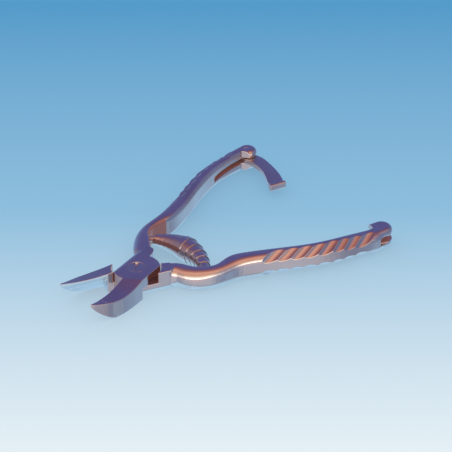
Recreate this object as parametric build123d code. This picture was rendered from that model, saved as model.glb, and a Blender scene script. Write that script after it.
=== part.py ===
from build123d import *
import math
import os

# Hoof nipper: two crossed levers on a lap joint, a barrel spring and a catch.
#
# Millimetres, +Z up.  The origin is on the pivot axis in the plane of the underside,
# which is the plane the tool rests on.  +X bisects the two handles, and the jaws
# point towards -X.  Each lever is first drawn closed, with its handle on the +Y side
# and its blade on the -Y side of the X axis, and is then turned to its open place.

# ---------------------------------------------------------------- driving dimensions
THICKNESS = 9.2              # joint, necks and heads are flush on both faces
MID = THICKNESS / 2
HALF_OPENING = 17.5          # degrees each lever stands away from closed
RUNNING_FIT = 0.04

# lap joint
LAP_RADIUS = 9.95            # round shoulders that the other lever's plate turns in
PLATE_RADIUS = 9.6           # round ends of the plate
PLATE_INNER = 7.4            # half width of the plate on the blade's side
LOWER_SLIMMING = 0.85        # the lower lever's plate and blade are slimmer there
LOWER_PLATE_OUTER = 7.9      # and on the handle's side
UPPER_PLATE_OUTER = 7.2
PLATE_ROUND = 2.8            # long outer edge of the plate, on the lever's own face
LAP_GAP = 0.04               # between the two laps

# blades
BLADE_LENGTH = 32.0          # pivot axis to tip
TIP_WIDTH = 0.3
BLADE_BACK = ((-29.2, -2.3), (-26.0, -4.2), (-22.0, -5.9), (-16.0, -7.1))
EDGE_GAP = 0.02              # half the daylight left between the closed edges
BEVEL_SLOPE = 1.65           # depth of the bevel for each millimetre of width
EDGE_LAND = 0.35             # thickness of the cutting edge
BEVEL_CROWN = 0.5            # how far the bevel is rounded out
BEVEL_END = -12.2            # where the bevel runs out towards the joint
FACE_DISH = 1.1              # how far the top of the blade is dished lengthwise
FACE_TILT = 6.5              # degrees the top of the blade falls towards its back

# handles
OUTER_ROUND = 3.0
INNER_ROUND = 2.6
NECK_ROUND = 1.6
HEAD_ROUND = 2.2
GRIP_RISE = 1.0              # how far the crown of the grip stands above the joint
CROWN = (30.0, 44.0, 82.0, 96.0)     # X where the crown begins, is full, and ends

# facet on the inner top corner of the upper neck
SCOOP_START = (9.0, 0.9)
SCOOP_DIRECTION = (5.3, 1.8)
SCOOP_SIZE = 3.0
SCOOP_DEPTH = 2.4
SCOOP_LENGTH = 9.0

# fluting
FLUTES = 8
FLUTE_PITCH = 5.6
FLUTE_START = 54.6           # X of the middle of the first flute
FLUTE_RADIUS = 2.9
FLUTE_DEPTH = 1.25
FLUTE_LEAN = 8.8             # how far a flute travels along the handle
FLUTE_MARGIN = 1.6           # face left plain beyond the inner end of a flute

# pivot screw
SCREW_SHANK = 2.5
SCREW_THREAD = 2.2
SCREW_HEAD = 3.6
SCREW_HEAD_RIM = 0.5
SCREW_CONE = 1.1
SCREW_SLOT = 0.9
SCREW_SLOT_DEPTH = 0.7
SCREW_SLOT_TURN = 49.0
SCREW_RECESS = 0.1
SCREW_SHOULDER = 0.6         # the shank goes this far into the lower lap
SCREW_TAIL_RECESS = 0.15

# catch, in the upper lever's closed frame
CATCH_PIN = (105.3, 12.8)
CATCH_PIN_RADIUS = 1.1
PIN_RECESS = 0.1
CATCH_THICKNESS = 2.2
CATCH_SLOT = 2.6
CATCH_EYE = 3.1
RIB_CENTRE = (91.2, -11.6)
RIB_THICKNESS = 3.2
RIB_LENGTH = 7.4
RIB_WIDTH = 1.8
RIB_LEAN = 0.0               # degrees the rib is turned off square to the catch
CATCH_LOCKED = 29.0          # degrees from rest to locked, with the levers closed
SEAT_FIT = 0.1               # left round the rib in its seat
FORK_START = 100.8           # X where the slot of the fork begins
POCKET_HEIGHT = 3.8

# barrel spring, on an axis that runs in a circle about the pivot
SPRING_RADIUS = 27.4         # from the pivot to the spring's axis
SPRING_HEIGHT = 5.5          # of the axis, so the widest turn clears the rest plane
UPPER_SEAT = 21.6            # degrees from the closed centre line to each seat
LOWER_SEAT = 20.8
SPRING_WAIST = 3.0          # degrees to the widest turn, in the open place
SPRING_WAIST_RADIUS = 5.1    # to the middle of the strip
SPRING_TIP_RADIUS = 1.9
SPRING_TURNS = (5, 6)        # below and above the waist
STEPS_PER_TURN = 16
STRIP_THICKNESS = 0.3
STRIP_WIDTH = 4.2
STRIP_TIP_WIDTH = 1.6
SPRING_GAP = 0.5            # left between a seat and the end of the strip
STUD_RADIUS = 1.1
STUD_DEPTH = 1.6
STUD_LENGTH = 2.4

# Stations down a handle: X and Y of its middle, width, outer and inner rounding.  The
# necks are narrow round the spring's seat, and step inwards to the grip beyond it.
LOWER_GRIP = (
    (9.5, 4.7, 5.2, 3.2, 1.0),
    (13.4, 5.2, 5.9, 3.7, 1.0),
    (16.3, 7.2, 6.1, 4.0, 1.0),
    (18.6, 9.6, 6.1, 4.0, 1.1),
    (21.8, 11.6, 5.9, 3.9, 1.2),
    (25.6, 12.5, 5.6, 3.4, 1.4),
    (29.8, 12.5, 5.3, 3.2, NECK_ROUND),
    (33.6, 11.5, 6.0, OUTER_ROUND, NECK_ROUND),
    (38.0, 10.2, 7.2, OUTER_ROUND, 2.0),
    (43.0, 10.3, 7.2, OUTER_ROUND, INNER_ROUND),
    (53.0, 11.8, 7.0, OUTER_ROUND, INNER_ROUND),
    (62.0, 13.5, 7.0, OUTER_ROUND, INNER_ROUND),
    (72.0, 14.9, 7.0, OUTER_ROUND, INNER_ROUND),
    (81.0, 15.1, 7.0, OUTER_ROUND, INNER_ROUND),
    (89.0, 14.4, 7.0, OUTER_ROUND, 2.2),
    (96.0, 13.8, 6.6, OUTER_ROUND, NECK_ROUND),
    (101.5, 12.4, 6.2, OUTER_ROUND, NECK_ROUND),
)
UPPER_GRIP = (
    (9.8, 4.0, 5.0, 3.2, 1.0),
    (13.6, 6.2, 7.2, 3.6, 1.0),
    (17.2, 9.1, 7.2, 3.9, 1.0),
    (20.8, 11.4, 6.5, 3.9, 1.1),
    (24.4, 13.1, 5.4, 3.4, 1.4),
    (28.6, 13.9, 4.8, 3.0, NECK_ROUND),
    (33.4, 13.4, 5.0, 2.8, NECK_ROUND),
    (38.4, 12.2, 6.2, OUTER_ROUND, 2.0),
    (45.0, 12.0, 6.6, OUTER_ROUND, INNER_ROUND),
    (53.0, 13.1, 6.7, OUTER_ROUND, INNER_ROUND),
    (62.0, 14.9, 6.7, OUTER_ROUND, INNER_ROUND),
    (72.0, 16.6, 6.7, OUTER_ROUND, INNER_ROUND),
    (81.0, 17.4, 6.5, OUTER_ROUND, INNER_ROUND),
    (89.0, 17.3, 6.1, 2.8, 2.2),
    (96.0, 16.4, 5.5, 2.4, NECK_ROUND),
    (101.5, 15.0, 4.9, 2.2, NECK_ROUND),
)

# the square corner that joins each plate to its neck, from the inner side to the outer
LOWER_CORNER = ((9.8, 1.2), (13.4, 2.1), (14.0, 4.0), (13.4, 6.4), (11.2, LOWER_PLATE_OUTER))
UPPER_CORNER = (
    (13.2, 0.6),
    (15.0, 1.6),
    (15.8, 3.6),
    (12.0, 6.6),
    (10.5, UPPER_PLATE_OUTER),
)

# heads: middle and radius of the round end, and degrees its outer side leans inwards
LOWER_HEAD = (104.0, 10.1, 4.5, 14.0)
UPPER_HEAD = (106.2, 12.6, 4.2, 10.5)
HEAD_ROOT = 95.0


# ------------------------------------------------------------------------ helpers
def unit(dx, dy):
    length = math.hypot(dx, dy)
    return dx / length, dy / length


def on_circle(radius, degrees):
    return radius * math.cos(math.radians(degrees)), radius * math.sin(math.radians(degrees))


def slab(outline, bottom, top):
    """The plan outline, filled and raised from bottom to top."""
    return Pos(0, 0, bottom) * extrude(make_face(outline), top - bottom)


def post(x, y, radius, bottom, top):
    """An upright cylinder from bottom to top."""
    return Pos(x, y, (bottom + top) / 2) * Cylinder(radius, top - bottom)


def placed_lower(shape):
    """From the closed frame to the lower lever's open place."""
    return Rot(0, 0, -HALF_OPENING) * mirror(shape, about=Plane.XZ)


def placed_upper(shape):
    """From the closed frame to the upper lever's open place."""
    return Rot(0, 0, HALF_OPENING) * shape


# ------------------------------------------------------------------------- levers
def crown_height(x):
    """How far the grip's top stands above the joint's at x."""
    share = min(1.0, (x - CROWN[0]) / (CROWN[1] - CROWN[0]), (CROWN[3] - x) / (CROWN[3] - CROWN[2]))
    return GRIP_RISE * (1 - math.cos(math.pi * max(0.0, share))) / 2


def handle_section(stations, index):
    """One rounded section of the handle, square to the line of its stations."""
    x, y, width, outer, inner = stations[index]
    before = stations[max(index - 1, 0)]
    after = stations[min(index + 1, len(stations) - 1)]
    tx, ty = unit(after[0] - before[0], after[1] - before[1])
    height = THICKNESS + crown_height(x)
    section = Rectangle(width, height)
    section = fillet(section.vertices().group_by(Axis.X)[-1], outer)
    section = fillet(section.vertices().group_by(Axis.X)[0], inner)
    return Plane(origin=(x, y, height / 2), x_dir=(-ty, tx, 0), z_dir=(tx, ty, 0)) * section


def handle(stations):
    return loft([handle_section(stations, i) for i in range(len(stations))])


def plate_and_blade(corner, own_face, slimming):
    """The flat plate of the lap, its square corner at the neck, and the blade.

    own_face is the height of the face that the lever's own lap belongs to, and
    slimming scales the width on the blade's side.
    """
    inner = PLATE_INNER * slimming
    outer = corner[-1][1]
    outer_angle = math.degrees(math.asin(outer / PLATE_RADIUS))
    inner_angle = math.degrees(math.asin(inner / PLATE_RADIUS))
    jaw_end = on_circle(PLATE_RADIUS, 180 - outer_angle)
    inner_end = on_circle(PLATE_RADIUS, -inner_angle)
    handle_end = (PLATE_RADIUS, 0)
    tip = (-BLADE_LENGTH, -EDGE_GAP)
    tip_back = (-BLADE_LENGTH, -EDGE_GAP - TIP_WIDTH)
    back = [(x, y * slimming) for x, y in BLADE_BACK]
    heel = (-8.0, -inner)
    throat = (-PLATE_RADIUS, -EDGE_GAP)
    outline = [
        Spline(tip_back, *back, heel, tangents=[(0.6, -1), (1, 0)], tangent_scalars=[0.5, 1]),
        Line(heel, inner_end),
        ThreePointArc(inner_end, on_circle(PLATE_RADIUS, -inner_angle / 2), handle_end),
        Polyline(handle_end, *corner, jaw_end),
        ThreePointArc(jaw_end, on_circle(PLATE_RADIUS, 180 - outer_angle / 2), throat),
        Polyline(throat, tip, tip_back),
    ]
    body = slab(outline, 0, THICKNESS)
    long_edges = body.edges().filter_by(Axis.X).group_by(Axis.Y)[-1]
    return fillet(long_edges.filter_by_position(Axis.Z, own_face - 1, own_face + 1), PLATE_ROUND)


def bevel_cutter():
    """The crowned bevel under the cutting edge, from the tip to the throat."""
    width = (THICKNESS - EDGE_LAND) / BEVEL_SLOPE
    edge = (-EDGE_GAP, THICKNESS - EDGE_LAND)
    heel = (-EDGE_GAP - width, 0)
    nx, ny = unit(-BEVEL_SLOPE, 1)
    crest = (
        (edge[0] + heel[0]) / 2 - nx * BEVEL_CROWN,
        (edge[1] + heel[1]) / 2 - ny * BEVEL_CROWN,
    )
    reach = 3
    below = (heel[0] - reach / BEVEL_SLOPE, -reach)
    profile = [
        ThreePointArc(edge, crest, heel),
        Polyline(heel, below, (PLATE_RADIUS, -reach), (PLATE_RADIUS, edge[1]), edge),
    ]
    start = -BLADE_LENGTH - 2
    plane = Plane(origin=(start, 0, 0), x_dir=(0, 1, 0), z_dir=(1, 0, 0))
    return extrude(plane * make_face(profile), BEVEL_END - start)


def dish_cutter():
    """A large roll laid across the top of the blade, falling towards its back."""
    half_chord = (BLADE_LENGTH - LAP_RADIUS) / 2
    radius = (half_chord**2 + FACE_DISH**2) / (2 * FACE_DISH)
    roll = Rot(FACE_TILT, 0, 0) * Pos(0, 0, radius) * Rot(90, 0, 0) * Cylinder(radius, 40)
    return Pos(-LAP_RADIUS - half_chord, 0, THICKNESS - FACE_DISH) * roll


def flute_cutter(stations, index, side):
    """One slanting leaf-shaped groove over an outer edge of the grip.

    The bottom of the groove would run from the middle of the outer side to the far
    part of the face, and is lifted so that only its middle bites the rounded edge.
    """
    x = FLUTE_START + index * FLUTE_PITCH
    i = max(k for k in range(len(stations) - 1) if stations[k][0] <= x)
    here, there = stations[i], stations[i + 1]
    share = (x - here[0]) / (there[0] - here[0])
    y = here[1] + share * (there[1] - here[1])
    width = here[2] + share * (there[2] - here[2])
    tx, ty = unit(there[0] - here[0], there[1] - here[1])
    rise = MID
    inward = width - FLUTE_MARGIN
    ox, oz = unit(rise, inward)
    corner_height = rise * inward / math.hypot(rise, inward)
    rounded_off = OUTER_ROUND * (math.sqrt(2) - 1)
    lift = corner_height - rounded_off - FLUTE_DEPTH + FLUTE_RADIUS
    across = (width - inward) / 2 + ox * lift
    up = rise / 2 + oz * lift
    crown = crown_height(x) if side > 0 else 0
    origin = (x - ty * across, y + tx * across, MID + side * up + crown)
    direction = (
        tx * FLUTE_LEAN + ty * inward,
        ty * FLUTE_LEAN - tx * inward,
        side * rise,
    )
    return Plane(origin=origin, z_dir=direction) * Cylinder(FLUTE_RADIUS, 26)


def rounded_head(head, start, step):
    """A round-ended head, with its curved and long edges rounded on both faces.

    start is where the round end begins, in degrees, and step is the line that joins
    the head to the inner side of its handle.
    """
    x, y, radius, lean = head
    touch_x, touch_y = on_circle(radius, 90 - lean)
    touch = (x + touch_x, y + touch_y)
    outer = (HEAD_ROOT, touch[1] + (touch[0] - HEAD_ROOT) * math.tan(math.radians(lean)))
    first_x, first_y = on_circle(radius, start)
    middle_x, middle_y = on_circle(radius, (start + 90 - lean) / 2)
    first = (x + first_x, y + first_y)
    outline = [
        Line(touch, outer),
        Polyline(outer, *step, first),
        ThreePointArc(first, (x + middle_x, y + middle_y), touch),
    ]
    body = slab(outline, 0, THICKNESS)
    long_edges = body.edges().filter_by(GeomType.LINE).sort_by(SortBy.LENGTH)[-2:]
    return fillet(body.edges().filter_by(GeomType.CIRCLE) + long_edges, HEAD_ROUND)


def lower_head():
    """The forked head, which steps inwards from the end of the lower handle."""
    step = ((HEAD_ROOT, 12.4), (99.8, 10.8), (99.8, 6.3))
    return rounded_head(LOWER_HEAD, -100, step)


def upper_head():
    """The rounded cheeks, which step inwards from the end of the upper handle."""
    step = ((HEAD_ROOT, 14.6), (102.2, 13.0))
    return rounded_head(UPPER_HEAD, -135, step)


def fork_cutter():
    """The slot of the fork, open at the end and on both sides."""
    slot = Box(20, 60, CATCH_SLOT, align=(Align.MIN, Align.CENTER, Align.CENTER))
    return Pos(FORK_START, 0, MID) * slot


def rib_seat():
    """The notch in the outer side of the fork that the catch's rib drops into."""
    reach = 6.0
    notch = Box(
        RIB_WIDTH + SEAT_FIT + reach,
        RIB_LENGTH + 2 * SEAT_FIT,
        RIB_THICKNESS + 2 * SEAT_FIT,
        align=(Align.MIN, Align.CENTER, Align.CENTER),
    )
    notch = at_rib(Pos(-RIB_WIDTH / 2 - SEAT_FIT, 0, 0) * notch)
    px, py = CATCH_PIN
    locked = Pos(px, py, 0) * Rot(0, 0, CATCH_LOCKED) * Pos(-px, -py, 0) * notch
    return mirror(locked, about=Plane.XZ)


def rib_pocket():
    """The pocket in the inner side of the lower handle that clears the catch's rib."""
    outline = Polyline(
        (86.9, 0.0),
        (86.9, 10.5),
        (92.2, 16.2),
        (95.8, 16.2),
        (98.5, 12.8),
        (101.5, 10.0),
        (101.5, 0.0),
        close=True,
    )
    return slab(outline, MID - POCKET_HEIGHT / 2, MID + POCKET_HEIGHT / 2)


def catch_slot_cutter():
    """The long slot of the upper handle that the catch turns and folds into."""
    outline = [
        Spline(
            (80.5, 13.0),
            (87.0, 16.6),
            (96.0, 16.9),
            (104.0, 16.6),
            tangents=[(0.6, 1), (1, 0)],
        ),
        Polyline((104.0, 16.6), (120.0, 16.6), (120.0, 0.0), (80.5, 0.0), (80.5, 13.0)),
    ]
    return slab(outline, MID - CATCH_SLOT / 2, MID + CATCH_SLOT / 2)


def scoop():
    """The slanting facet on the inner top corner of the upper lever's neck."""
    profile = Polyline((0, 0), (0, SCOOP_SIZE), (-SCOOP_SIZE, SCOOP_SIZE), close=True)
    along = unit(*SCOOP_DIRECTION)
    origin = (*SCOOP_START, THICKNESS - SCOOP_DEPTH)
    plane = Plane(origin=origin, x_dir=(along[1], -along[0], 0), z_dir=(*along, 0))
    return plane * extrude(make_face(profile), SCOOP_LENGTH)


def lever(stations, corner, head, own_face, slimming=1.0):
    """Either lever at full thickness."""
    body = handle(stations) + plate_and_blade(corner, own_face, slimming) + head
    body = body - bevel_cutter() - dish_cutter()
    for index in range(FLUTES):
        for side in (1, -1):
            body = body - flute_cutter(stations, index, side)
    return body


def stud(seat):
    """The spring's stud on a seat, along the spring's axis, in the closed frame."""
    x, y = on_circle(SPRING_RADIUS, seat)
    inward = (math.sin(math.radians(seat)), -math.cos(math.radians(seat)), 0)
    body = Cylinder(STUD_RADIUS, STUD_LENGTH + STUD_DEPTH)
    plane = Plane(origin=(x, y, SPRING_HEIGHT), z_dir=inward)
    return plane * Pos(0, 0, (STUD_LENGTH - STUD_DEPTH) / 2) * body


def lower_lever():
    body = lever(LOWER_GRIP, LOWER_CORNER, lower_head(), 0, LOWER_SLIMMING)
    body = body - fork_cutter() - rib_seat() - rib_pocket()
    body = body - post(0, 0, LAP_RADIUS, MID - LAP_GAP / 2, 2 * THICKNESS)
    body = body - post(0, 0, SCREW_THREAD, -1, THICKNESS)
    body = body - post(0, 0, SCREW_SHANK, MID - SCREW_SHOULDER, THICKNESS)
    return placed_lower(body - stud(LOWER_SEAT))


def upper_lever():
    body = lever(UPPER_GRIP, UPPER_CORNER, upper_head(), THICKNESS)
    body = body - catch_slot_cutter() - scoop()
    body = body - post(0, 0, LAP_RADIUS, -THICKNESS, MID + LAP_GAP / 2)
    bore = revolve(Plane.XZ * make_face(screw_outline(RUNNING_FIT)), Axis.Z)
    mouth = post(0, 0, SCREW_HEAD + RUNNING_FIT, THICKNESS - 2 * SCREW_RECESS, THICKNESS + 1)
    pin_bore = post(*CATCH_PIN, CATCH_PIN_RADIUS, -1, THICKNESS + 1)
    return placed_upper(body - bore - mouth - pin_bore - stud(UPPER_SEAT))


# -------------------------------------------------------------------- pivot screw
def screw_outline(grow):
    """Half outline of the countersunk screw, its head and shank grown by a fit."""
    top = THICKNESS - SCREW_RECESS
    rim = top - SCREW_HEAD_RIM - grow
    cone = rim - SCREW_CONE
    shoulder = MID - SCREW_SHOULDER
    return Polyline(
        (0, top),
        (SCREW_HEAD + grow, top),
        (SCREW_HEAD + grow, rim),
        (SCREW_SHANK + grow, cone),
        (SCREW_SHANK + grow, shoulder),
        (SCREW_THREAD, shoulder),
        (SCREW_THREAD, SCREW_TAIL_RECESS),
        (0, SCREW_TAIL_RECESS),
        close=True,
    )


def pivot_screw():
    body = revolve(Plane.XZ * make_face(screw_outline(0)), Axis.Z)
    cut = 2 * (SCREW_SLOT_DEPTH + SCREW_RECESS)
    slot = Pos(0, 0, THICKNESS) * Box(3 * SCREW_HEAD, SCREW_SLOT, cut)
    return body - Rot(0, 0, SCREW_SLOT_TURN) * slot


# -------------------------------------------------------------------------- catch
def at_rib(shape):
    """Put a shape at the end of the catch, its X pointing away from the pin."""
    dx = RIB_CENTRE[0] - CATCH_PIN[0]
    dy = RIB_CENTRE[1] - CATCH_PIN[1]
    turn = math.degrees(math.atan2(dy, dx))
    return Pos(*RIB_CENTRE, MID) * Rot(0, 0, turn - RIB_LEAN) * shape


def rib():
    """The cross rib at the end of the catch, thicker than the catch itself."""
    bar = Box(RIB_WIDTH, RIB_LENGTH, RIB_THICKNESS)
    return at_rib(fillet(bar.edges().filter_by(Axis.Y), RIB_WIDTH * 0.4))


def catch():
    """The curved catch at rest, in the upper lever's closed frame."""
    px, py = CATCH_PIN
    outline = [
        Spline(
            (px + CATCH_EYE, py),
            (107.9, 8.4),
            (107.1, 5.0),
            (105.4, 1.6),
            (103.0, -2.4),
            (99.8, -7.0),
            (95.2, -12.0),
            tangents=[(0, -1), (-0.72, -0.7)],
        ),
        Polyline((95.2, -12.0), (91.8, -12.4), (88.8, -9.8), (89.6, -8.4)),
        Spline(
            (89.6, -8.4),
            (92.0, -5.8),
            (95.8, -2.2),
            (98.8, 1.6),
            (100.5, 5.0),
            (101.9, 9.0),
            (px - CATCH_EYE, py),
            tangents=[(0.5, 1), (0.2, 1)],
        ),
        ThreePointArc((px - CATCH_EYE, py), (px, py + CATCH_EYE), (px + CATCH_EYE, py)),
    ]
    arm = slab(outline, MID - CATCH_THICKNESS / 2, MID + CATCH_THICKNESS / 2)
    return arm + rib() - post(px, py, CATCH_PIN_RADIUS + RUNNING_FIT, 0, THICKNESS)


def catch_pin():
    return post(*CATCH_PIN, CATCH_PIN_RADIUS, PIN_RECESS, THICKNESS - PIN_RECESS)


# ------------------------------------------------------------------ barrel spring
def strip_section(turn):
    """A section of the strip; turn counts from the waist, negative towards the lower seat."""
    if turn < 0:
        reach = -turn / SPRING_TURNS[0]
        seat = -LOWER_SEAT - HALF_OPENING
    else:
        reach = turn / SPRING_TURNS[1]
        seat = UPPER_SEAT + HALF_OPENING
    end_margin = math.degrees((SPRING_GAP + STRIP_TIP_WIDTH / 2) / SPRING_RADIUS)
    end = seat - math.copysign(end_margin, seat)
    angle = math.radians(SPRING_WAIST + (end - SPRING_WAIST) * reach)
    radius = SPRING_WAIST_RADIUS + (SPRING_TIP_RADIUS - SPRING_WAIST_RADIUS) * reach
    width = STRIP_WIDTH + (STRIP_TIP_WIDTH - STRIP_WIDTH) * reach
    outward = (math.cos(angle), math.sin(angle))
    c = math.cos(2 * math.pi * turn)
    s = math.sin(2 * math.pi * turn)
    out = SPRING_RADIUS + c * radius
    origin = (out * outward[0], out * outward[1], SPRING_HEIGHT + s * radius)
    across = Plane(
        origin=origin,
        x_dir=(-outward[1], outward[0], 0),
        z_dir=(-outward[0] * s, -outward[1] * s, c),
    )
    return across * Rectangle(width, STRIP_THICKNESS)


def barrel_spring():
    """A flat strip wound into two volutes that meet at the waist."""
    below, above = SPRING_TURNS
    count = (below + above) * STEPS_PER_TURN
    turns = [-below + i / STEPS_PER_TURN for i in range(count + 1)]
    return loft([strip_section(turn) for turn in turns], ruled=True)


# ----------------------------------------------------------------------- assembly
PARTS = {
    "lower_lever": lower_lever,
    "upper_lever": upper_lever,
    "pivot_screw": pivot_screw,
    "barrel_spring": barrel_spring,
    "spring_stud_lower": lambda: placed_lower(stud(LOWER_SEAT)),
    "spring_stud_upper": lambda: placed_upper(stud(UPPER_SEAT)),
    "catch": lambda: placed_upper(catch()),
    "catch_pin": lambda: placed_upper(catch_pin()),
}

if __name__ == "__main__":
    os.makedirs("parts", exist_ok=True)
    for name, build in PARTS.items():
        export_step(build(), f"parts/{name}.step")
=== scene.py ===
# Looks of the hoof nipper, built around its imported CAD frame.  Metres, +Z up; the
# origin is on the pivot axis in the plane the tool rests on, the jaws point to -X.
import math

import bmesh
import bpy
from mathutils import Matrix, Vector
from mathutils.bvhtree import BVHTree


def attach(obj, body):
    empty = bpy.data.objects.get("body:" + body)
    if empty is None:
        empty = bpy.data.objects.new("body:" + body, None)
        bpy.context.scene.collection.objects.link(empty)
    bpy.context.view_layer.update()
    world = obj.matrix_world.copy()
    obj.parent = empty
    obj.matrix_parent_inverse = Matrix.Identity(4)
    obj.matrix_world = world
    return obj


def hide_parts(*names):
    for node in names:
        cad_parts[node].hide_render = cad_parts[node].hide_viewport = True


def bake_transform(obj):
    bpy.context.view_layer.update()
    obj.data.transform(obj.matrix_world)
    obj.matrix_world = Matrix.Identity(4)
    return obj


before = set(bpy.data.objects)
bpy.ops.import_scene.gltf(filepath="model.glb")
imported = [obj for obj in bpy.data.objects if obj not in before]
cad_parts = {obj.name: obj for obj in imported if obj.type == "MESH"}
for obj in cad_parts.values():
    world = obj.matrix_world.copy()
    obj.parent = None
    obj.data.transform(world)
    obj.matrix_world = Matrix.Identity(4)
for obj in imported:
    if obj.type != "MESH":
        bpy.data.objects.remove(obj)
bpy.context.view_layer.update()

MM = 0.001
UPWARD = Vector((0, 0, 1))

# camera: how far round the object and above the table it is, and the point it looks at
CAMERA_AZIMUTH = math.radians(-40.9)
CAMERA_ELEVATION = math.radians(31.4)
CAMERA_DISTANCE = 829.2 * MM
CAMERA_TARGET = Vector((52.2, 5.9, 4.6)) * MM
CAMERA_LENS = 159.3                      # focal length, in Blender's own millimetres
CAMERA_SENSOR = 36.0                     # and the width of the sensor
CAMERA_NEAREST = 10 * MM
HEADING = Vector((-math.sin(CAMERA_AZIMUTH), math.cos(CAMERA_AZIMUTH), 0))
ACROSS = Vector((HEADING.y, -HEADING.x, 0))

# spring, on an axis that runs in a circle about the pivot
SPRING_RADIUS = 27.4 * MM
SPRING_HEIGHT = 5.5 * MM
SPRING_ENDS = (-38.3, 39.1)              # degrees, at the lower and the upper seat
SPRING_WAIST = 3.0                       # degrees, where the two volutes meet
SPRING_WAIST_RADIUS = 5.1 * MM
SPRING_TIP_RADIUS = 1.95 * MM
SPRING_TURNS = (5, 6)                    # below and above the waist
STRIP_STEPS = 72                         # round one turn
STRIP_THICKNESS = 0.26 * MM
STRIP_EDGE = 0.3 * STRIP_THICKNESS       # bevel along its corners
STRIP_CROWN = 0.1 * STRIP_THICKNESS      # how far its outer face bulges
STRIP_WIDTHS = (4.3 * MM, 2.94 * MM)     # at the waist, below and above it
STRIP_TIP_WIDTHS = (4.0 * MM, 2.9 * MM)
STRIP_LEANS = (0.17 * MM, 0.25 * MM)     # how far its edges rise and dip with the cone
STRIP_LEVELLING = 0.5                    # turns from the waist where the lean is full
SHARP_ANGLE = math.radians(30)

# levers: where their laps, recesses and neck facets are, where shade and reflection are painted
LAP_RADIUS = 10.2 * MM                   # the laps turn inside this, about the pivot
LAP_PLANE = 4.6 * MM                     # where the two laps meet, above the table
NECK_SIDE = (15.0 * MM, 36.5 * MM)       # the facet of a neck with a painted brown reflection, along a closed tool
HALF_OPENING = math.radians(17.5)        # of the levers at rest
INWARD = 0.5                             # how far across a normal points, to face inward
RECESS_REACH = 4.0 * MM                  # how near the facing wall of a recess is
RECESS_START = 0.05 * MM                 # the search for it leaves the surface here
PAINTED_SHADE_MASK = "recess"                        # the mesh attribute that holds where shade and reflection are painted
WELD_DISTANCE = 0.001 * MM

# the finish of each material slot, as plated_steel takes it
FINISHES = {
    "lever_steel": {
        "colour": (0.64, 0.63, 0.65), "roughness": (0.04, 0.11),
        "streak": (1, 8, 8), "bump": 0.14, "glint": 0.08,
    },
    "spring_steel": {
        "colour": (0.62, 0.59, 0.59), "roughness": (0.09, 0.20),
        "streak": (1, 1, 6), "bump": 0.25, "glint": 0.0,
    },
    "screw_steel": {
        "colour": (0.60, 0.60, 0.63), "roughness": (0.16, 0.30),
        "streak": (6, 1, 1), "bump": 0.3, "glint": 0.0,
    },
    "catch_steel": {
        "colour": (0.58, 0.59, 0.63), "roughness": (0.18, 0.32),
        "streak": (6, 1, 6), "bump": 0.35, "glint": 0.08,
    },
}

# what the finishes share
TARNISH = (0.92, 0.80, 0.78)             # share of each colour left where it is cloudy
SHEEN = 1.07                             # and where it is buffed
# painted shade and painted reflection: the dark brown laid into recesses, around the laps and on
# the upper neck's inner facet, and how metallic it stays there
PAINTED_SHADE_COLOUR = (0.38, 0.16, 0.14)
PAINTED_SHADE_METAL = 0.45
PAINTED_SHADE_GLOW = 0.14                       # painted light: a faint glow where shade is painted, as if light found its way in from the sides
EDGE_GLINT_COLOUR = (1.0, 0.80, 0.66)          # colour of the painted highlight that glows on sharp edges
WEAR_AND_GLINT_RANGE = (0.515, 0.56)               # pointiness where edge wear and the painted edge highlight start and are full

# patterns of the metal: scale and detail
CLOUDS = (55.0, 5.0)
STREAKS = (900.0, 3.0)
GRAIN = (5200.0, 2.0)
TONE_STOPS = (0.3, 0.62, 0.8)            # of the clouds: tarnish, plain colour, sheen
MARKED_RANGE = (0.35, 0.65)              # of clouds and streaks: smoothest to roughest
STREAK_SHARE = 0.7                       # of the relief; grain is the rest
RELIEF_DEPTH = 0.02 * MM


# ---------------------------------------------------------------- node helpers
def new_nodes(tree, *kinds):
    return [tree.nodes.new("ShaderNode" + kind) for kind in kinds]


def opaque(colour):
    return (*colour, 1)


def ramp(tree, stops, factor):
    """A colour ramp on a 0 to 1 socket; stops are (place, colour) pairs."""
    node = tree.nodes.new("ShaderNodeValToRGB")
    band = node.color_ramp
    while len(band.elements) < len(stops):
        band.elements.new(0.5)
    for element, (place, colour) in zip(band.elements, stops):
        element.position = place
        element.color = opaque(colour)
    tree.links.new(factor, node.inputs[0])
    return node.outputs[0]


def mix(tree, factor, first, second):
    """One colour fading into another; a colour is a tuple or a socket."""
    node = tree.nodes.new("ShaderNodeMixRGB")
    tree.links.new(factor, node.inputs[0])
    for socket, colour in zip(node.inputs[1:], (first, second)):
        if isinstance(colour, tuple):
            socket.default_value = opaque(colour)
        else:
            tree.links.new(colour, socket)
    return node.outputs[0]


def maths(tree, operation, a, b=None):
    """The result of a maths node; a value is a number or a socket."""
    node = tree.nodes.new("ShaderNodeMath")
    node.operation = operation
    for socket, value in zip(node.inputs, (a, b)):
        if value is None:
            continue
        if isinstance(value, (int, float)):
            socket.default_value = value
        else:
            tree.links.new(value, socket)
    return node.outputs[0]


def weighted(tree, first, second, share):
    """The first value's share of a whole, and the second value for the rest."""
    return maths(
        tree, "ADD",
        maths(tree, "MULTIPLY", first, share),
        maths(tree, "MULTIPLY", second, 1 - share),
    )


def dot(tree, vector, direction):
    node = tree.nodes.new("ShaderNodeVectorMath")
    node.operation = "DOT_PRODUCT"
    tree.links.new(vector, node.inputs[0])
    node.inputs[1].default_value = direction
    return node.outputs["Value"]


def noise(tree, coordinates, scale, detail, stretch=(1, 1, 1)):
    mapping, texture = new_nodes(tree, "Mapping", "TexNoise")
    mapping.inputs["Scale"].default_value = stretch
    tree.links.new(coordinates, mapping.inputs[0])
    tree.links.new(mapping.outputs[0], texture.inputs["Vector"])
    texture.inputs["Scale"].default_value = scale
    texture.inputs["Detail"].default_value = detail
    return texture.outputs["Fac"]


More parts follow.
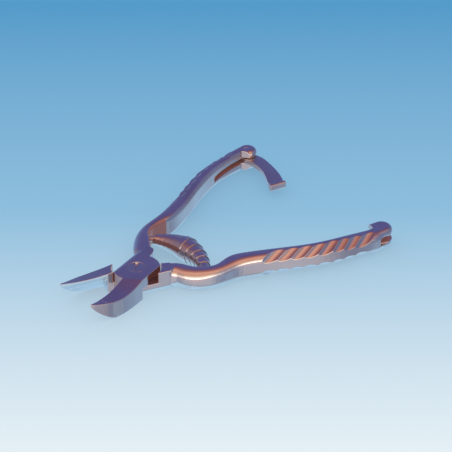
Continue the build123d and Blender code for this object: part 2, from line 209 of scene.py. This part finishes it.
def remap(tree, value, low, high, start=0.0, end=1.0):
    """low where the value is at its start, high where it is at its end."""
    node = tree.nodes.new("ShaderNodeMapRange")
    tree.links.new(value, node.inputs["Value"])
    node.inputs["From Min"].default_value = start
    node.inputs["From Max"].default_value = end
    node.inputs["To Min"].default_value = low
    node.inputs["To Max"].default_value = high
    return node.outputs["Result"]


# ------------------------------------------------------------------- materials
def plated_steel(name, colour, roughness, streak, bump, glint):
    """Plated and buffed steel: cloudy tone, buffing streaks, edges a little lighter with wear
    and a painted highlight glowing on them, and painted shade and reflection where the
    recess attribute is set.

    roughness is that of the smoothest and the roughest patches, streak stretches the
    buffing marks, bump is their strength, and glint is how brightly the painted highlight
    on sharp edges glows.
    """
    material = bpy.data.materials.new(name)
    material.use_nodes = True
    tree = material.node_tree
    shader = tree.nodes["Principled BSDF"]
    coordinates, geometry, attribute = new_nodes(tree, "TexCoord", "NewGeometry", "Attribute")
    attribute.attribute_name = PAINTED_SHADE_MASK
    recess = attribute.outputs["Fac"]
    wear_and_glint = remap(tree, geometry.outputs["Pointiness"], 0.0, 1.0, *WEAR_AND_GLINT_RANGE)

    place = coordinates.outputs["Object"]
    clouds = noise(tree, place, *CLOUDS)
    streaks = noise(tree, place, *STREAKS, streak)
    grain = noise(tree, place, *GRAIN)

    dark = tuple(c * share for c, share in zip(colour, TARNISH))
    light = tuple(min(1.0, c * SHEEN) for c in colour)
    tone = ramp(tree, list(zip(TONE_STOPS, (dark, colour, light))), clouds)
    # base colour: painted shade and painted reflection where the recess attribute is set, edges a
    # little lighter with wear; the line after next makes the painted shade less metallic so its
    # colour shows
    with_painted_shade = mix(tree, recess, mix(tree, wear_and_glint, tone, light), PAINTED_SHADE_COLOUR)
    tree.links.new(with_painted_shade, shader.inputs["Base Color"])
    tree.links.new(remap(tree, recess, 1.0, PAINTED_SHADE_METAL), shader.inputs["Metallic"])

    # painted light: the emission glows faintly in the painted shade colour where the recess
    # attribute is set, and as a painted highlight on sharp edges
    lit = mix(tree, wear_and_glint, PAINTED_SHADE_COLOUR, EDGE_GLINT_COLOUR)
    tree.links.new(lit, shader.inputs["Emission Color"])
    glow = maths(
        tree, "ADD",
        maths(tree, "MULTIPLY", recess, PAINTED_SHADE_GLOW),
        maths(tree, "MULTIPLY", wear_and_glint, glint),
    )
    tree.links.new(glow, shader.inputs["Emission Strength"])

    marks = weighted(tree, clouds, streaks, 0.5)
    tree.links.new(remap(tree, marks, *roughness, *MARKED_RANGE), shader.inputs["Roughness"])
    relief = tree.nodes.new("ShaderNodeBump")
    relief.inputs["Strength"].default_value = bump
    relief.inputs["Distance"].default_value = RELIEF_DEPTH
    tree.links.new(weighted(tree, streaks, grain, STREAK_SHARE), relief.inputs["Height"])
    tree.links.new(relief.outputs[0], shader.inputs["Normal"])
    return material


def dress(piece, steels, slot):
    piece.data.materials.clear()
    piece.data.materials.append(steels[slot])


# ---------------------------------------------------------------------- pieces
def add_object(name, data):
    thing = bpy.data.objects.new(name, data)
    bpy.context.scene.collection.objects.link(thing)
    return thing


def smooth_shading(mesh):
    mesh.polygons.foreach_set("use_smooth", [True] * len(mesh.polygons))


def in_recess(tree, place, normal):
    """Whether a wall faces this one close by."""
    start = place + normal * RECESS_START
    return tree.ray_cast(start, normal, RECESS_REACH)[0] is not None


def in_lap(place, side):
    """Whether a place is inside the joint, where one lap turns on the other; shade and reflection
    are painted there.
    """
    return math.hypot(place.x, place.y) < LAP_RADIUS and (LAP_PLANE - place.z) * side > 0


def on_neck_facet(place, normal, side):
    """Whether a place is on the inner side of the upper lever's neck, where a brown reflection is
    painted.
    """
    if side != 1:
        return False
    closing = Matrix.Rotation(-side * HALF_OPENING, 3, "Z")
    inward = (closing @ normal).y * side < -INWARD
    return inward and NECK_SIDE[0] < (closing @ place).x < NECK_SIDE[1]


def mark_painted_shade(mesh, side):
    """Fill the recess attribute: 1 where shade and reflection are painted, 0 elsewhere.

    side is 1 for the lever whose lap is the upper one, -1 for the other lever, and 0
    for a piece without a lap.
    """
    tree = BVHTree.FromPolygons(
        [vertex.co for vertex in mesh.vertices],
        [polygon.vertices for polygon in mesh.polygons],
    )
    values = []
    for vertex in mesh.vertices:
        place, normal = vertex.co, vertex.normal
        # painted shade in recesses and in the joint, and a painted brown reflection on the upper
        # neck's inner facet
        with_painted_shade = (
            in_recess(tree, place, normal)
            or in_lap(place, side)
            or on_neck_facet(place, normal, side)
        )
        values.append(1.0 if with_painted_shade else 0.0)
    mesh.attributes.new(PAINTED_SHADE_MASK, "FLOAT", "POINT").data.foreach_set("value", values)


def welded(mesh):
    """A copy of a mesh in which neighbouring faces share their corners."""
    copy = mesh.copy()
    work = bmesh.new()
    work.from_mesh(copy)
    bmesh.ops.remove_doubles(work, verts=work.verts, dist=WELD_DISTANCE)
    work.to_mesh(copy)
    work.free()
    return copy


def softened(node, body, voxel, passes, side=0):
    """A close copy of a CAD node with its edges rolled over, standing for the node.

    The mesh is remeshed in millimetres, where a voxel can be small enough.  side is the
    one that mark_painted_shade takes.
    """
    mesh = welded(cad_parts[node].data)
    mesh.transform(Matrix.Scale(1 / MM, 4))
    rough = add_object(node + "_rough", mesh)
    remesh = rough.modifiers.new("remesh", "REMESH")
    remesh.mode = "VOXEL"
    remesh.voxel_size = voxel
    smooth = rough.modifiers.new("smooth", "SMOOTH")
    smooth.factor = 0.5
    smooth.iterations = passes
    bpy.context.view_layer.update()
    depsgraph = bpy.context.evaluated_depsgraph_get()
    skin = bpy.data.meshes.new_from_object(rough.evaluated_get(depsgraph))
    bpy.data.objects.remove(rough)
    skin.transform(Matrix.Scale(MM, 4))
    smooth_shading(skin)
    mark_painted_shade(skin, side)
    piece = add_object(node + "_skin", skin)
    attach(piece, body)
    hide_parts(node)
    return piece


def spring_place(turn):
    """Angle on the spring's axis, radius and strip width at a turn from the waist."""
    side = 0 if turn < 0 else 1
    reach = abs(turn) / SPRING_TURNS[side]
    margin = math.degrees(STRIP_TIP_WIDTHS[side] / 2 / SPRING_RADIUS)
    end = SPRING_ENDS[side] - math.copysign(margin, SPRING_ENDS[side])
    angle = SPRING_WAIST + (end - SPRING_WAIST) * reach
    radius = SPRING_WAIST_RADIUS + (SPRING_TIP_RADIUS - SPRING_WAIST_RADIUS) * reach
    width = STRIP_WIDTHS[side] + (STRIP_TIP_WIDTHS[side] - STRIP_WIDTHS[side]) * reach
    return angle, radius, width


def strip_lean(turn):
    """How far the strip's edge towards the upper seat rises, at a turn from the waist."""
    lean = STRIP_LEANS[0] if turn < 0 else -STRIP_LEANS[1]
    return lean * min(1.0, abs(turn) / STRIP_LEVELLING)


def strip_outline(width, lean):
    """Corners of the strip's section: distance along the axis, and away from it."""
    half = width / 2
    top = STRIP_THICKNESS / 2
    points = [
        (-half, -top + STRIP_EDGE),
        (-half, top - STRIP_EDGE),
        (-half + STRIP_EDGE, top),
        (0, top + STRIP_CROWN),
        (half - STRIP_EDGE, top),
        (half, top - STRIP_EDGE),
        (half, -top + STRIP_EDGE),
        (half - STRIP_EDGE, -top),
        (-half + STRIP_EDGE, -top),
    ]
    return [(along, away + lean * along / half) for along, away in points]


def on_spring_axis(degrees):
    phi = math.radians(degrees)
    return math.cos(phi) * SPRING_RADIUS, math.sin(phi) * SPRING_RADIUS, SPRING_HEIGHT


def strip_ring(turn):
    """The strip's section at a turn from the waist, as points in place."""
    angle, radius, width = spring_place(turn)
    phi = math.radians(angle)
    outward = Vector((math.cos(phi), math.sin(phi), 0))
    along = Vector((-math.sin(phi), math.cos(phi), 0))
    turned = 2 * math.pi * turn
    spoke = outward * math.cos(turned) + UPWARD * math.sin(turned)
    centre = Vector(on_spring_axis(angle))
    outline = strip_outline(width, strip_lean(turn))
    return [centre + spoke * (radius + away) + along * forward for forward, away in outline]


def tube_mesh(name, rings):
    """A closed skin over rings of points that all have the same number of corners."""
    size = len(rings[0])
    last = (len(rings) - 1) * size
    faces = []
    for start in range(0, last, size):
        for k in range(size):
            a = start + k
            b = start + (k + 1) % size
            faces.append((a, b, b + size, a + size))
    faces.append(tuple(range(size))[::-1])
    faces.append(tuple(range(last, last + size)))
    mesh = bpy.data.meshes.new(name)
    mesh.from_pydata([point for ring in rings for point in ring], [], faces)
    mesh.validate()
    mesh.update()
    return mesh


def barrel_spring():
    """A strip wound into two volutes that meet at the waist, bent between the levers."""
    below, above = SPRING_TURNS
    count = (below + above) * STRIP_STEPS
    rings = [strip_ring(-below + i / STRIP_STEPS) for i in range(count + 1)]
    mesh = tube_mesh("spring_strip", rings)
    smooth_shading(mesh)
    mesh.set_sharp_from_angle(angle=SHARP_ANGLE)
    piece = add_object("barrel_spring_strip", mesh)
    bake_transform(piece)
    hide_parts("barrel_spring")
    return piece


def build_pieces():
    steels = {slot: plated_steel(slot, **finish) for slot, finish in FINISHES.items()}
    dress(softened("lower_lever", "lower", voxel=0.14, passes=5, side=-1), steels, "lever_steel")
    dress(softened("upper_lever", "upper", voxel=0.14, passes=5, side=1), steels, "lever_steel")
    dress(softened("catch", "catch", voxel=0.1, passes=6), steels, "catch_steel")
    dress(softened("pivot_screw", "lower", voxel=0.08, passes=4), steels, "screw_steel")
    dress(barrel_spring(), steels, "spring_steel")
    for node in ("catch_pin", "spring_stud_lower", "spring_stud_upper"):
        dress(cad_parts[node], steels, "screw_steel")


# ----------------------------------------------------------------------- stage
# What the metal mirrors, by degrees from the horizon in front of the object: 90 is
# overhead, 180 is the horizon behind it and -90 is straight down.
LOWEST, HIGHEST = -90.0, 270.0
MIRRORED = (
    (-90, (0.66, 0.96, 1.15)),
    (-66, (0.62, 0.88, 1.05)),
    (-56, (0.36, 0.48, 0.65)),
    (-42, (0.56, 0.57, 0.65)),
    (-31, (0.66, 0.63, 0.69)),
    (-25, (0.72, 0.62, 0.69)),
    (-19, (0.92, 0.68, 0.68)),
    (-13, (0.70, 0.40, 0.36)),
    (-6, (1.55, 1.30, 1.18)),
    (3, (2.40, 2.25, 2.00)),
    (14, (1.75, 1.45, 1.10)),
    (30, (1.02, 0.62, 0.42)),
    (52, (0.85, 0.44, 0.31)),
    (66, (1.10, 0.54, 0.37)),
    (86, (0.66, 0.28, 0.22)),
    (102, (0.34, 0.14, 0.16)),
    (118, (0.19, 0.115, 0.26)),
    (134, (0.140, 0.125, 0.34)),
    (150, (0.140, 0.140, 0.37)),
    (185, (0.20, 0.28, 0.52)),
    (230, (0.50, 0.80, 1.05)),
)
# what it mirrors at the sides, from the left to the right of the picture
FLANKS = ((0.0, (0.34, 0.24, 0.30)), (0.5, (0.30, 0.20, 0.26)), (1.0, (0.22, 0.27, 0.44)))
FLANK_RANGE = (0.55, 0.95)               # how far sideways they start and take over
DAYLIGHT = (0.80, 0.86, 0.92)            # the soft light on everything that isn't mirrored

# the paper, from near to far along the camera's heading
FLOOR_COLOURS = ((0.0, (0.86, 0.93, 0.95)), (0.45, (0.30, 0.55, 0.75)), (1.0, (0.10, 0.35, 0.61)))
FLOOR_RANGE = (-110 * MM, 260 * MM)
FLOOR_HALF = 3000 * MM
FLOOR_GLOW = 0.6                         # share of the floor's light that is its own


def build_world():
    world = bpy.data.worlds.new("studio")
    bpy.context.scene.world = world
    world.use_nodes = True
    tree = world.node_tree
    coordinates, path = new_nodes(tree, "TexCoord", "LightPath")
    direction = coordinates.outputs["Generated"]
    forward = dot(tree, direction, -HEADING)
    height = dot(tree, direction, UPWARD)
    side = dot(tree, direction, ACROSS)

    turn = maths(tree, "ARCTAN2", height, forward)
    degrees = maths(tree, "MULTIPLY", turn, 180 / math.pi)
    below = maths(tree, "LESS_THAN", degrees, LOWEST)
    wrapped = maths(tree, "ADD", degrees, maths(tree, "MULTIPLY", below, HIGHEST - LOWEST))
    share = remap(tree, wrapped, 0.0, 1.0, LOWEST, HIGHEST)
    stops = [((place - LOWEST) / (HIGHEST - LOWEST), colour) for place, colour in MIRRORED]
    mirrored = ramp(tree, stops, share)

    flank = ramp(tree, FLANKS, remap(tree, side, 0.0, 1.0, -1.0, 1.0))
    sideways = remap(tree, maths(tree, "ABSOLUTE", side), 0.0, 1.0, *FLANK_RANGE)
    around = mix(tree, sideways, mirrored, flank)
    chosen = mix(tree, path.outputs["Is Glossy Ray"], DAYLIGHT, around)
    background = tree.nodes["Background"]
    tree.links.new(chosen, background.inputs["Color"])
    background.inputs["Strength"].default_value = 1.0


def pale_paper():
    """Matt paper that pales towards the camera and is partly lit from within."""
    material = bpy.data.materials.new("pale_paper")
    material.use_nodes = True
    tree = material.node_tree
    shader = tree.nodes["Principled BSDF"]
    geometry, mixer, glow = new_nodes(tree, "NewGeometry", "MixShader", "Emission")
    distance = dot(tree, geometry.outputs["Position"], HEADING)
    share = remap(tree, distance, 0.0, 1.0, *FLOOR_RANGE)
    colour = ramp(tree, FLOOR_COLOURS, share)
    tree.links.new(colour, shader.inputs["Base Color"])
    shader.inputs["Roughness"].default_value = 0.9
    shader.inputs["Specular IOR Level"].default_value = 0.0
    tree.links.new(colour, glow.inputs["Color"])
    mixer.inputs[0].default_value = FLOOR_GLOW
    tree.links.new(shader.outputs[0], mixer.inputs[1])
    tree.links.new(glow.outputs[0], mixer.inputs[2])
    tree.links.new(mixer.outputs[0], tree.nodes["Material Output"].inputs["Surface"])
    return material


def build_floor():
    mesh = bpy.data.meshes.new("floor")
    corners = [(x * FLOOR_HALF, y * FLOOR_HALF, 0) for x, y in ((-1, -1), (1, -1), (1, 1), (-1, 1))]
    mesh.from_pydata(corners, [], [(0, 1, 2, 3)])
    mesh.materials.append(pale_paper())
    floor = add_object("floor", mesh)
    floor.visible_glossy = False


def build_camera():
    back = UPWARD * math.sin(CAMERA_ELEVATION) - HEADING * math.cos(CAMERA_ELEVATION)
    camera = add_object("camera", bpy.data.cameras.new("camera"))
    camera.data.sensor_width = CAMERA_SENSOR
    camera.data.lens = CAMERA_LENS
    camera.data.clip_start = CAMERA_NEAREST
    camera.location = CAMERA_TARGET + back * CAMERA_DISTANCE
    camera.rotation_euler = (-back).to_track_quat("-Z", "Y").to_euler()
    bpy.context.scene.camera = camera


bpy.context.scene.view_settings.view_transform = "Standard"
build_pieces()
build_world()
build_floor()
build_camera()
